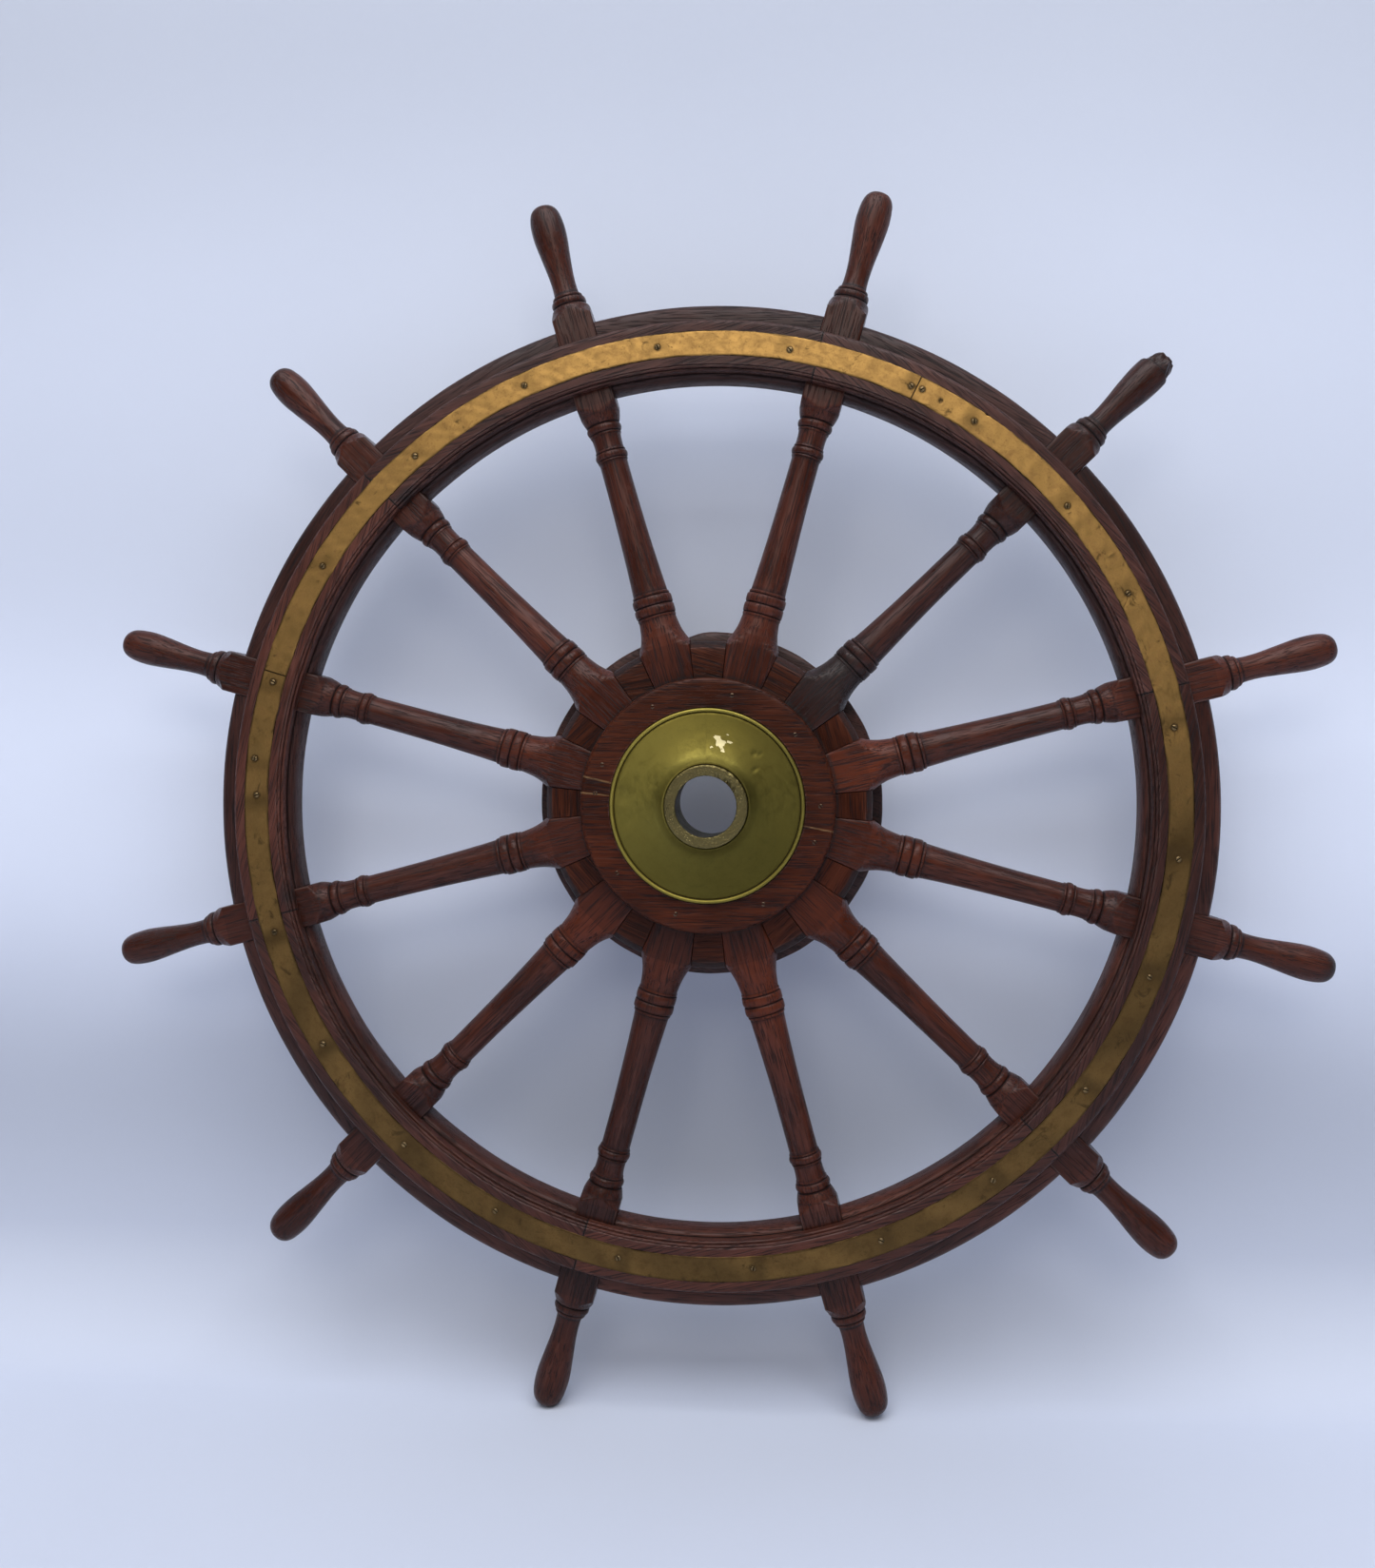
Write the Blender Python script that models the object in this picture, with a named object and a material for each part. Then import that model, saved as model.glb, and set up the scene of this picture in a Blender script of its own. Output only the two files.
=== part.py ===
"""Ship's steering wheel: twelve turned spokes through a faced wooden rim and a brass-bound nave.

Metres, +Z up. The origin is the wheel's centre and the spin axis is Y. The front faces -Y.
Angles are in degrees, clockwise from the top as seen from the front, so a spoke at angle a
points along (sin a, 0, cos a).
"""

import math

import bmesh
import bpy

# Overall
SPOKES = 12
FIRST_SPOKE = 15.0
SPOKE_PITCH = 360.0 / SPOKES
GAP = 0.0003

# Spoke blank and the wedge that its root is cut to
BLANK_HALF = 0.0243
ROOT_START = 0.0623
ROOT_HALF_ANGLE = 9.25
ROOT_END = 0.2300
HANDLE_TIP = 0.7620

# Rim
RIM_INNER = 0.5085
RIM_OUTER = 0.6060
FACING_INNER = 0.5200
FACING_OUTER = 0.5800
FACING_THICK = 0.0144
FACING_SPAN = 60.0
BAND_INNER = 0.5368
BAND_OUTER = 0.5661
BAND_THICK = 0.0030
BAND_PROUD = 0.0006
BAND_JOINTS = (26.5, 286.7)

# Nave
NAVE_INNER = 0.0628
FILLER_OUTER = 0.1900
FRONT_RING_OUTER = 0.1525
FRONT_RING_THICK = 0.0224
FRONT_RING_JOINTS = (102.0, 279.0)
REAR_DISC_OUTER = 0.2080
REAR_DISC_THICK = 0.0174

# Brass hub
PLATE_OUTER = 0.1159
PLATE_RECESS = 0.0050
BEAD_PROUD = 0.0050
BUSH_BODY = 0.0615
BOSS_OUTER = 0.0490
BOSS_NOSE = 0.0720
BORE_FRONT = 0.0360
BORE_REAR = 0.0395
REAR_SPIGOT = 0.0500
REAR_PLATE_OUTER = 0.1010
REAR_PLATE_RECESS = 0.0060
REAR_PLATE_THICK = 0.0077
BUSH_REAR = 0.0480

# Faceting of round shapes
RIM_STEP = 6.0
NAVE_STEP = 7.5
CLEAR_SHARE = 0.01
CORNER_SHARP = math.radians(35)

FACING_BACK = BLANK_HALF + GAP
FACING_FRONT = FACING_BACK + FACING_THICK
RING_FRONT = FACING_BACK + FRONT_RING_THICK
DISC_REAR = FACING_BACK + REAR_DISC_THICK

WOOD = (0.085, 0.026, 0.016)
DARK_WOOD = (0.052, 0.020, 0.016)
BAND_BRASS = (0.520, 0.330, 0.095)
CAST_BRASS = (0.300, 0.250, 0.070)
BUSH_BRONZE = (0.210, 0.185, 0.090)


def clear_scene():
    for obj in list(bpy.data.objects):
        bpy.data.objects.remove(obj)


def material(name, colour, roughness, metallic):
    made = bpy.data.materials.new(name)
    made.use_nodes = True
    shader = made.node_tree.nodes["Principled BSDF"]
    shader.inputs["Base Color"].default_value = (*colour, 1.0)
    shader.inputs["Roughness"].default_value = roughness
    shader.inputs["Metallic"].default_value = metallic
    return made


def mesh_from(name, loops, closed):
    """A skin through loops of equal length, joined end to end if closed, capped if not."""
    bm = bmesh.new()
    rows = [[bm.verts.new(point) for point in loop] for loop in loops]
    count = len(rows)
    for i in range(count if closed else count - 1):
        row, after = rows[i], rows[(i + 1) % count]
        for j in range(len(row)):
            k = (j + 1) % len(row)
            bm.faces.new((row[j], row[k], after[k], after[j]))
    if not closed:
        bm.faces.new(rows[0])
        bm.faces.new(rows[-1])
    bmesh.ops.recalc_face_normals(bm, faces=bm.faces)
    mesh = bpy.data.meshes.new(name)
    bm.to_mesh(mesh)
    bm.free()
    mesh.shade_smooth()
    mesh.set_sharp_from_angle(angle=CORNER_SHARP)
    return mesh


def place(name, mesh, finish, angle=0.0):
    """An object of this mesh, turned clockwise about the spin axis."""
    obj = bpy.data.objects.new(name, mesh)
    bpy.context.scene.collection.objects.link(obj)
    if not mesh.materials:
        mesh.materials.append(finish)
    obj.rotation_euler = (0.0, math.radians(angle), 0.0)
    return obj


def ring_point(radius, depth, angle, step):
    """A point on a ring faceted every step degrees, so that rings of one step nest exactly."""
    within = math.radians((angle - FIRST_SPOKE) % step - step / 2)
    reach = radius * math.cos(math.radians(step / 2)) / math.cos(within)
    turn = math.radians(angle)
    return (reach * math.sin(turn), depth, reach * math.cos(turn))


def arc_mesh(name, outline, start, end, step, inset=GAP / 2):
    """The outline of (radius, depth) points swept from start to end, cut inset inside both ends."""

    def trim(radius):
        return math.degrees(math.asin(inset / radius))

    most = max(trim(radius) for radius, _ in outline)
    first = math.ceil((start + most - FIRST_SPOKE) / step + CLEAR_SHARE)
    last = math.floor((end - most - FIRST_SPOKE) / step - CLEAR_SHARE)
    middle = [FIRST_SPOKE + step * i for i in range(first, last + 1)]
    loops = [[ring_point(r, y, start + trim(r), step) for r, y in outline]]
    loops += [[ring_point(r, y, angle, step) for r, y in outline] for angle in middle]
    loops += [[ring_point(r, y, end - trim(r), step) for r, y in outline]]
    return mesh_from(name, loops, closed=False)


def ring_mesh(name, outline, step):
    """The outline swept all the way round."""
    count = round(360 / step)
    loops = [
        [ring_point(r, y, FIRST_SPOKE + step * i, step) for r, y in outline] for i in range(count)
    ]
    return mesh_from(name, loops, closed=True)


def bead(start, end, foot, top):
    """Three (distance, radius) points over a half-round bead."""
    return [(start, foot), ((start + end) / 2, top), (end, foot)]


def shaft_radius(distance, start, end, thick, thin):
    """The long taper of a shaft, hollow near its thick end."""
    hollow = 2.2
    return thin + (thick - thin) * ((end - distance) / (end - start)) ** hollow


def turned_profile():
    """(distance, radius) points of the turning, from the root to the tip of the handle."""
    uncut = 0.0400
    points = [(ROOT_START, uncut), (0.1900, uncut), (0.2030, 0.0300), (0.2220, BLANK_HALF)]
    points += bead(0.2370, 0.2500, 0.0230, 0.0256)
    points += bead(0.2500, 0.2620, 0.0230, 0.0254)[1:]
    shaft = (0.2655, 0.4340, 0.0213, 0.0171)
    points += [(r, shaft_radius(r, *shaft)) for r in (0.2655, 0.3200, 0.4340)]
    points += bead(0.4345, 0.4460, 0.0176, 0.0199)
    points += bead(0.4675, 0.4815, 0.0178, 0.0214)
    points += [(0.4910, BLANK_HALF), (0.5000, uncut)]
    points += [(0.6120, uncut), (0.6220, BLANK_HALF), (0.6300, 0.0215)]
    points += bead(0.6325, 0.6415, 0.0198, 0.0212)
    points += [(0.6475, 0.0152), (0.6640, 0.0147)]
    points += [(0.6960, 0.0177), (0.7280, 0.0206)]
    points += [(r, grip_end(r)) for r in (0.7460, 0.7580)]
    points += [(HANDLE_TIP, 0.0040)]
    return points


def grip_end(distance):
    """The blunt round end of the handle, past its thickest place."""
    widest, radius, power = 0.7280, 0.0206, 2.4
    share = (distance - widest) / (HANDLE_TIP - widest)
    return radius * (1 - share**power) ** (1 / power)


def spoke_section(distance, radius):
    """Twelve points: the turned circle, cut by the faces of the blank or the root wedge."""
    half_width = BLANK_HALF
    if distance < ROOT_END:
        half_width = distance * math.tan(math.radians(ROOT_HALF_ANGLE)) - GAP / 2
    points = []
    for side in range(4):
        for turn in (-45, -15, 15):
            across, along = 1.0, math.tan(math.radians(turn))
            for _ in range(side):
                across, along = -along, across
            x, y = across * half_width, along * BLANK_HALF
            shrink = min(1.0, radius / math.hypot(x, y))
            points.append((x * shrink, y * shrink, distance))
    return points


def make_spokes(finish):
    loops = [spoke_section(distance, radius) for distance, radius in turned_profile()]
    mesh = mesh_from("spoke", loops, closed=False)
    for i in range(SPOKES):
        place(f"spoke_{i + 1:02d}", mesh, finish, FIRST_SPOKE + SPOKE_PITCH * i)


def mirrored(outline):
    """An outline of points with positive depth, closed by its mirror image."""
    return outline + [(radius, -depth) for radius, depth in reversed(outline)]


def make_felloes(finish):
    roll = [
        (RIM_INNER, 0.0070),
        (RIM_INNER + 0.0045, 0.0165),
        (FACING_INNER + 0.0005, 0.0195),
    ]
    seat = [(FACING_INNER + 0.0010, BLANK_HALF), (FACING_OUTER - 0.0010, BLANK_HALF)]
    edge = [
        (FACING_OUTER + 0.0010, 0.0215),
        (RIM_OUTER - 0.0060, 0.0185),
        (RIM_OUTER, 0.0070),
    ]
    outline = mirrored(roll + seat + edge)
    mesh = arc_mesh(
        "felloe",
        outline,
        FIRST_SPOKE,
        FIRST_SPOKE + SPOKE_PITCH,
        RIM_STEP,
        inset=BLANK_HALF + GAP,
    )
    for i in range(SPOKES):
        place(f"felloe_{i + 1:02d}", mesh, finish, SPOKE_PITCH * i)


def facing_outline(back, front, with_groove):
    """A facing's section: a moulded inner edge, a flat with or without the band's groove, a bevel."""
    rise = 1 if front > back else -1
    outline = [
        (FACING_INNER, back),
        (FACING_INNER, front - rise * 0.0080),
        (FACING_INNER + 0.0040, front - rise * 0.0030),
        (FACING_INNER + 0.0085, front),
    ]
    if with_groove:
        floor = front - rise * (BAND_THICK - BAND_PROUD)
        inner, outer = BAND_INNER - GAP, BAND_OUTER + GAP
        outline += [(inner, front), (inner, floor), (outer, floor), (outer, front)]
    return outline + [
        (FACING_OUTER - 0.0040, front),
        (FACING_OUTER, front - rise * 0.0030),
        (FACING_OUTER, back),
    ]


def make_facings(finish):
    front = facing_outline(-FACING_BACK, -FACING_FRONT, with_groove=True)
    rear = facing_outline(FACING_BACK, FACING_FRONT, with_groove=False)
    front_mesh = arc_mesh("front_facing", front, FIRST_SPOKE, FIRST_SPOKE + FACING_SPAN, RIM_STEP)
    rear_mesh = arc_mesh("rear_facing", rear, FIRST_SPOKE, FIRST_SPOKE + FACING_SPAN, RIM_STEP)
    for i in range(round(360 / FACING_SPAN)):
        turn = FACING_SPAN * i
        place(f"front_facing_{i + 1}", front_mesh, finish, turn)
        place(f"rear_facing_{i + 1}", rear_mesh, finish, turn + SPOKE_PITCH)


def make_rim_band(finish):
    front = -FACING_FRONT - BAND_PROUD
    back = front + BAND_THICK - GAP
    outline = [(BAND_INNER, back), (BAND_INNER, front), (BAND_OUTER, front), (BAND_OUTER, back)]
    first, second = BAND_JOINTS
    long_arc = arc_mesh("rim_band_long", outline, first, second, RIM_STEP)
    short_arc = arc_mesh("rim_band_short", outline, second, first + 360.0, RIM_STEP)
    place("rim_band_long", long_arc, finish)
    place("rim_band_short", short_arc, finish)


def make_nave_fillers(finish):
    outline = [
        (NAVE_INNER, -BLANK_HALF),
        (FILLER_OUTER - 0.0020, -BLANK_HALF),
        (FILLER_OUTER, -BLANK_HALF + 0.0020),
        (FILLER_OUTER, BLANK_HALF),
        (NAVE_INNER, BLANK_HALF),
    ]
    start = FIRST_SPOKE + ROOT_HALF_ANGLE
    end = FIRST_SPOKE + SPOKE_PITCH - ROOT_HALF_ANGLE
    mesh = arc_mesh("nave_filler", outline, start, end, NAVE_STEP)
    for i in range(SPOKES):
        place(f"nave_filler_{i + 1:02d}", mesh, finish, SPOKE_PITCH * i)


def make_front_ring(finish):
    """The front of the nave, in two halves with a recess for the brass plate."""
    recess = PLATE_OUTER + 0.0007
    floor = -RING_FRONT + PLATE_RECESS
    outline = [
        (NAVE_INNER, -FACING_BACK),
        (NAVE_INNER, floor),
        (recess, floor),
        (recess, -RING_FRONT),
        (FRONT_RING_OUTER - 0.0065, -RING_FRONT),
        (FRONT_RING_OUTER - 0.0020, -RING_FRONT + 0.0015),
        (FRONT_RING_OUTER, -RING_FRONT + 0.0060),
        (FRONT_RING_OUTER, -FACING_BACK),
    ]
    first, second = FRONT_RING_JOINTS
    lower = arc_mesh("front_nave_ring_lower", outline, first, second, NAVE_STEP)
    upper = arc_mesh("front_nave_ring_upper", outline, second, first + 360.0, NAVE_STEP)
    place("front_nave_ring_lower", lower, finish)
    place("front_nave_ring_upper", upper, finish)


def make_rear_disc(finish):
    """The back of the nave, larger than the front, with a recess for the rear plate."""
    recess = REAR_PLATE_OUTER + 0.0007
    floor = DISC_REAR - REAR_PLATE_RECESS
    outline = [
        (NAVE_INNER, FACING_BACK),
        (REAR_DISC_OUTER - 0.0040, FACING_BACK),
        (REAR_DISC_OUTER, FACING_BACK + 0.0040),
        (REAR_DISC_OUTER, DISC_REAR - 0.0040),
        (REAR_DISC_OUTER - 0.0040, DISC_REAR),
        (recess, DISC_REAR),
        (recess, floor),
        (NAVE_INNER, floor),
    ]
    place("rear_nave_disc", ring_mesh("rear_nave_disc", outline, NAVE_STEP), finish)


def make_front_plate(finish):
    """The brass plate: a beaded rim, a quirk, a field that swells to a collar round the boss."""
    back = -RING_FRONT + PLATE_RECESS - GAP
    rim = -RING_FRONT
    outline = [
        (BOSS_OUTER + GAP, back),
        (PLATE_OUTER, back),
        (PLATE_OUTER, rim - 0.0020),
        (PLATE_OUTER - 0.0030, rim - BEAD_PROUD),
        (PLATE_OUTER - 0.0060, rim - 0.0035),
        (PLATE_OUTER - 0.0085, rim - 0.0015),
        (PLATE_OUTER - 0.0120, rim - 0.0025),
        (0.0700, rim - 0.0080),
        (0.0580, rim - 0.0125),
        (0.0525, rim - 0.0190),
        (BOSS_OUTER + GAP, rim - 0.0195),
    ]
    place("front_hub_plate", ring_mesh("front_hub_plate", outline, NAVE_STEP), finish)


def make_rear_plate(finish):
    front = DISC_REAR - REAR_PLATE_RECESS + GAP
    rear = front + REAR_PLATE_THICK
    outline = [
        (REAR_SPIGOT + GAP, front),
        (REAR_PLATE_OUTER, front),
        (REAR_PLATE_OUTER, rear - 0.0020),
        (REAR_PLATE_OUTER - 0.0020, rear),
        (REAR_SPIGOT + GAP, rear),
    ]
    place("rear_hub_plate", ring_mesh("rear_hub_plate", outline, NAVE_STEP), finish)


def make_bush(finish):
    """The bush on the shaft: its nose is the boss, its body carries the roots of the spokes."""
    front_step = -RING_FRONT + PLATE_RECESS
    rear_step = DISC_REAR - REAR_PLATE_RECESS
    outline = [
        (BORE_FRONT, -BOSS_NOSE),
        (BOSS_OUTER - 0.0015, -BOSS_NOSE),
        (BOSS_OUTER, -BOSS_NOSE + 0.0015),
        (BOSS_OUTER, front_step),
        (BUSH_BODY, front_step),
        (BUSH_BODY, rear_step),
        (REAR_SPIGOT, rear_step),
        (REAR_SPIGOT, BUSH_REAR),
        (BORE_REAR, BUSH_REAR),
    ]
    place("shaft_bush", ring_mesh("shaft_bush", outline, NAVE_STEP), finish)


def main():
    clear_scene()
    wood = material("spoke_wood", WOOD, 0.42, 0.0)
    dark_wood = material("rim_wood", DARK_WOOD, 0.48, 0.0)
    band_brass = material("band_brass", BAND_BRASS, 0.38, 1.0)
    cast_brass = material("plate_brass", CAST_BRASS, 0.30, 1.0)
    bronze = material("bush_bronze", BUSH_BRONZE, 0.50, 1.0)
    make_spokes(wood)
    make_felloes(dark_wood)
    make_facings(dark_wood)
    make_rim_band(band_brass)
    make_nave_fillers(wood)
    make_front_ring(wood)
    make_rear_disc(dark_wood)
    make_front_plate(cast_brass)
    make_rear_plate(cast_brass)
    make_bush(bronze)


main()
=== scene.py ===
"""Looks of the ship's steering wheel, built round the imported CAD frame.

Metres, +Z up. The spin axis is Y and the front faces -Y. Wheel angles are in degrees, clockwise
from the top as seen from the front. A height is measured from the mid plane towards the front.
Outlines are written in millimetres, as (radius, height) or (distance, radius) points.
"""

import math

import bpy
import numpy as np
from mathutils import Matrix, Vector


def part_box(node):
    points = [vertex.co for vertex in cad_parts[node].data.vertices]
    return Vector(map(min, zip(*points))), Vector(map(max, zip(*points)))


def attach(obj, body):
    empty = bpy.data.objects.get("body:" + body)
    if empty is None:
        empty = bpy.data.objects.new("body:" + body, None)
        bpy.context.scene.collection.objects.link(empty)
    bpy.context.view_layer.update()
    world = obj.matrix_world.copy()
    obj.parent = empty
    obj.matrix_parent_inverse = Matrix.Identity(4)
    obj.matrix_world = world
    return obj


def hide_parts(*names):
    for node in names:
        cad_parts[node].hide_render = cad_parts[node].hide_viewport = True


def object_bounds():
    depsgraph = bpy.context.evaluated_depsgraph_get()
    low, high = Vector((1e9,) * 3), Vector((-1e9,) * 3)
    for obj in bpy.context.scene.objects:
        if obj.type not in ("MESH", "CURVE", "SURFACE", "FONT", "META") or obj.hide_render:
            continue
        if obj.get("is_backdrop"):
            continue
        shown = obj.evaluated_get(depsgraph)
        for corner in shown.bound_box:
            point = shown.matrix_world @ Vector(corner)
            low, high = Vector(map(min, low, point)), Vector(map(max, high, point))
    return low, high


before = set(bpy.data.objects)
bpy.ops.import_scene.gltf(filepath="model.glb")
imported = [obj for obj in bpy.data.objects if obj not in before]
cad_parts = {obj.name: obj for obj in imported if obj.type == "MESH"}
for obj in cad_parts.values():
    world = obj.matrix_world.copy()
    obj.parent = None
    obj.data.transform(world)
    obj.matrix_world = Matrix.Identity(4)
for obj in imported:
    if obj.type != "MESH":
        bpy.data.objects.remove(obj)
cad_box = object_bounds()

MM = 0.001
BODY = "root"

SPOKES = 12
PITCH = 30.0
FIRST_SPOKE = 15.0
# How far each spoke leans from its place, in degrees
LEAN = (0.6, 0.6, 0.6, -0.4, -1.1, -0.4, 0.2, 0.0, 0.5, 0.2, -0.5, -0.8)
# How much longer than its outline each hand grip is
GRIP_MORE = (5.0, 0.0, 0.0, -2.0, 0.0, -2.5, -0.5, -0.5, -2.5, 0.0, -1.0, 0.0)
SPOKE_ANGLES = [FIRST_SPOKE + PITCH * i + lean for i, lean in enumerate(LEAN)]


def extent(node):
    """The greatest x of a CAD node, and the heights of its front and back, in millimetres."""
    low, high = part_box(node)
    return high.x / MM, -low.y / MM, -high.y / MM


PLATE_RADIUS = extent("front_hub_plate")[0]
DISC_RADIUS, _, DISC_REAR = extent("rear_nave_disc")
_, BOSS_NOSE, BUSH_REAR = extent("shaft_bush")
_, FACING_FRONT, FACING_BACK = extent("front_facing_1")
RING_FRONT = extent("front_nave_ring_lower")[1]
BAND_TOP = extent("rim_band_long")[1]
BLANK_HALF = extent("spoke_01")[1]

# The gap between neighbouring pieces, and half the angle of a spoke's wedge-shaped root
GAP = 0.3
ROOT_HALF_ANGLE = 9.25


# ---------------- outlines


def smooth(points, steps=5):
    """A Catmull-Rom curve through the points."""
    p = np.array(points, float)
    p = np.vstack([2 * p[0] - p[1], p, 2 * p[-1] - p[-2]])
    t = np.linspace(0, 1, steps, endpoint=False)[:, None]
    parts = []
    for a, b, c, d in zip(p, p[1:], p[2:], p[3:]):
        parts.append(
            0.5 * (2 * b + (c - a) * t + (2 * a - 5 * b + 4 * c - d) * t**2
                   + (3 * b - a - 3 * c + d) * t**3)
        )
    return np.vstack(parts + [p[-2][None]])


def bead(start, end, foot, top, count=9):
    """A half-round bead along a turning."""
    turn = np.linspace(-math.pi / 2, math.pi / 2, count)
    middle, half = (start + end) / 2, (end - start) / 2
    return np.stack([middle + half * np.sin(turn), foot + (top - foot) * np.cos(turn)], 1)


def arc_points(x, y, radius, first, last, count=7):
    """Points of a circle about (x, y), between two directions in degrees."""
    turn = np.radians(np.linspace(first, last, count))
    return np.stack([x + radius * np.cos(turn), y + radius * np.sin(turn)], 1)


def line(x0, y0, x1, y1, count):
    return np.linspace((x0, y0), (x1, y1), count)


def hollows(outline):
    """For each corner of a closed outline, 1 in a sharp hollow and -1 on a sharp ridge."""
    before = outline - np.roll(outline, 1, 0)
    after = np.roll(outline, -1, 0) - outline
    area = (outline[:, 0] * np.roll(outline[:, 1], -1) - np.roll(outline[:, 0], -1) * outline[:, 1]).sum()
    turn = before[:, 0] * after[:, 1] - before[:, 1] * after[:, 0]
    turn /= np.maximum(np.hypot(*before.T) * np.hypot(*after.T), 1e-9)
    return np.clip(-turn * np.sign(area) * 1.6, -1, 1)


def ripple(angles, seed, waves=(3, 5, 8, 13, 21, 34)):
    """Smooth waves over angles in degrees, about -1 to 1, with waves as the counts per turn."""
    rng = np.random.default_rng(seed)
    total = np.zeros_like(angles, float)
    for wave in waves:
        size = rng.uniform(0.4, 1.0) / math.sqrt(len(waves))
        total += size * np.sin(np.radians(angles) * wave + rng.uniform(0, 2 * math.pi))
    return total


def hill(values, centre, width):
    """1 at the centre, falling smoothly towards 0 within about twice the width."""
    return np.exp(-(((values - centre) / width) ** 2))


def degrees_from(angles, centre):
    """The angle from a centre, the short way round."""
    return (angles - centre + 180) % 360 - 180


def round_hill(angles, centre, width):
    """A hill over angles, the short way round."""
    return hill(degrees_from(angles, centre), 0, width)


def arc_from(angles, centre, radius):
    """The distance from a centre angle, along a circle."""
    return np.radians(degrees_from(angles, centre)) * radius


# ---------------- meshes


def grid_quads(rows, cols, wrap_rows=False):
    """The corners of each quad of a grid whose columns wrap."""
    i = np.arange(rows if wrap_rows else rows - 1)[:, None]
    j = np.arange(cols)[None, :]
    k, n = (j + 1) % cols, (i + 1) % rows
    return np.stack([i * cols + j, i * cols + k, n * cols + k, n * cols + j], -1).reshape(-1, 4)


def skin(name, points, grain, mark, warm, wrap_rows, sharp=32.0):
    """A closed skin over a grid of points. Columns wrap; rows wrap or end in a flat cap."""
    rows, cols = points.shape[:2]
    quads = grid_quads(rows, cols, wrap_rows)
    flat = points.reshape(-1, 3)
    faces = quads.tolist()
    if not wrap_rows:
        faces.append(list(range(cols))[::-1])
        faces.append(list(range((rows - 1) * cols, rows * cols)))
    corners = flat[quads]
    volume = np.einsum("ij,ij->i", corners[:, 0], np.cross(corners[:, 1], corners[:, 2])).sum()
    volume += np.einsum("ij,ij->i", corners[:, 0], np.cross(corners[:, 2], corners[:, 3])).sum()
    if not wrap_rows:
        for face in faces[-2:]:
            fan = flat[face]
            volume += np.einsum("j,ij->i", fan[0], np.cross(fan[1:-1], fan[2:])).sum()
    if volume < 0:
        faces = [face[::-1] for face in faces]
    return mesh_of(name, flat, faces, grain.reshape(-1, 3), mark.reshape(-1, 3), warm.reshape(-1), sharp)


def mesh_of(name, points, faces, grain, mark, warm, sharp):
    mesh = bpy.data.meshes.new(name)
    mesh.from_pydata(points.tolist(), [], faces)
    for label, kind, values in (("grain", "FLOAT_VECTOR", grain), ("mark", "FLOAT_VECTOR", mark)):
        attribute = mesh.attributes.new(label, kind, "POINT")
        attribute.data.foreach_set("vector", np.ascontiguousarray(values, np.float32).ravel())
    attribute = mesh.attributes.new("warm", "FLOAT", "POINT")
    attribute.data.foreach_set("value", np.ascontiguousarray(warm, np.float32))
    mesh.update()
    mesh.shade_smooth()
    mesh.set_sharp_from_angle(angle=math.radians(sharp))
    return mesh


def new_object(name, data):
    obj = bpy.data.objects.new(name, data)
    bpy.context.scene.collection.objects.link(obj)
    return obj


def piece(mesh, finish, nodes=()):
    """An object of the wheel, in place of the CAD nodes."""
    obj = new_object(mesh.name, mesh)
    mesh.materials.append(finish)
    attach(obj, BODY)
    if nodes:
        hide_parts(*nodes)


def swept(name, outline, start, end, step, inset=GAP / 2, shift=None, grain_turn=None, tone=0.0,
          warm=0.0, soot=None, seed=0, lathe=False, ends=None):
    """An outline swept clockwise from start to end, or all round if they are 360 degrees apart.

    shift(angles, radii, heights) gives what is added to the radii and heights. The grain runs
    straight across the middle of the piece, or at the angle grain_turn, or round the axis where
    lathe is set. ends is the (width, soot) of a mark at both ends.
    """
    outline = np.array(outline, float)
    whole = math.isclose(end - start, 360)
    count = max(2, math.ceil((end - start) / step) + 1)
    share = np.linspace(0, 1, count)
    if ends:
        marked = ends[0] / (outline[:, 0].mean() * math.radians(end - start))
        clean = marked * 1.3
        share = np.unique(np.concatenate([share, [marked, clean, 1 - clean, 1 - marked]]))
    if whole:
        share = share[:-1]
    radii = np.broadcast_to(outline[:, 0], (len(share), len(outline))).copy()
    heights = np.broadcast_to(outline[:, 1], radii.shape).copy()
    trim = 0 if whole else np.degrees(np.arcsin(inset / outline[:, 0]))[None, :]
    angles = start + trim + share[:, None] * (end - start - 2 * trim)
    angles = np.broadcast_to(angles, radii.shape)
    if shift:
        more_radius, more_height = shift(angles, radii, heights)
        radii, heights = radii + more_radius, heights + more_height
    turn = np.radians(angles)
    points = np.stack([radii * np.sin(turn), -heights, radii * np.cos(turn)], -1) * MM
    rng = np.random.default_rng(seed)
    if lathe:
        grain = np.stack([radii, heights, turn * outline[:, 0].mean()], -1) * MM
    else:
        middle = math.radians((start + end) / 2 if grain_turn is None else grain_turn)
        across = radii * np.cos(turn - middle)
        along = radii * np.sin(turn - middle)
        grain = np.stack([across, heights, along], -1) * MM
    grain = grain + rng.uniform(-5, 5, 3)
    mark = np.zeros(points.shape)
    mark[..., 0] = tone(angles, radii) if callable(tone) else tone
    mark[..., 2] = hollows(outline)[None, :]
    if soot is not None:
        mark[..., 1] = soot(angles, radii, heights)
    if ends:
        border = (marked + clean) / 2
        edge = (share[:, None] < border) | (share[:, None] > 1 - border)
        mark[..., 1] = np.where(edge, ends[1], mark[..., 1])
    return skin(name, points, grain, mark, np.full(points.shape[:2], warm), whole)


# ---------------- materials


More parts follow.
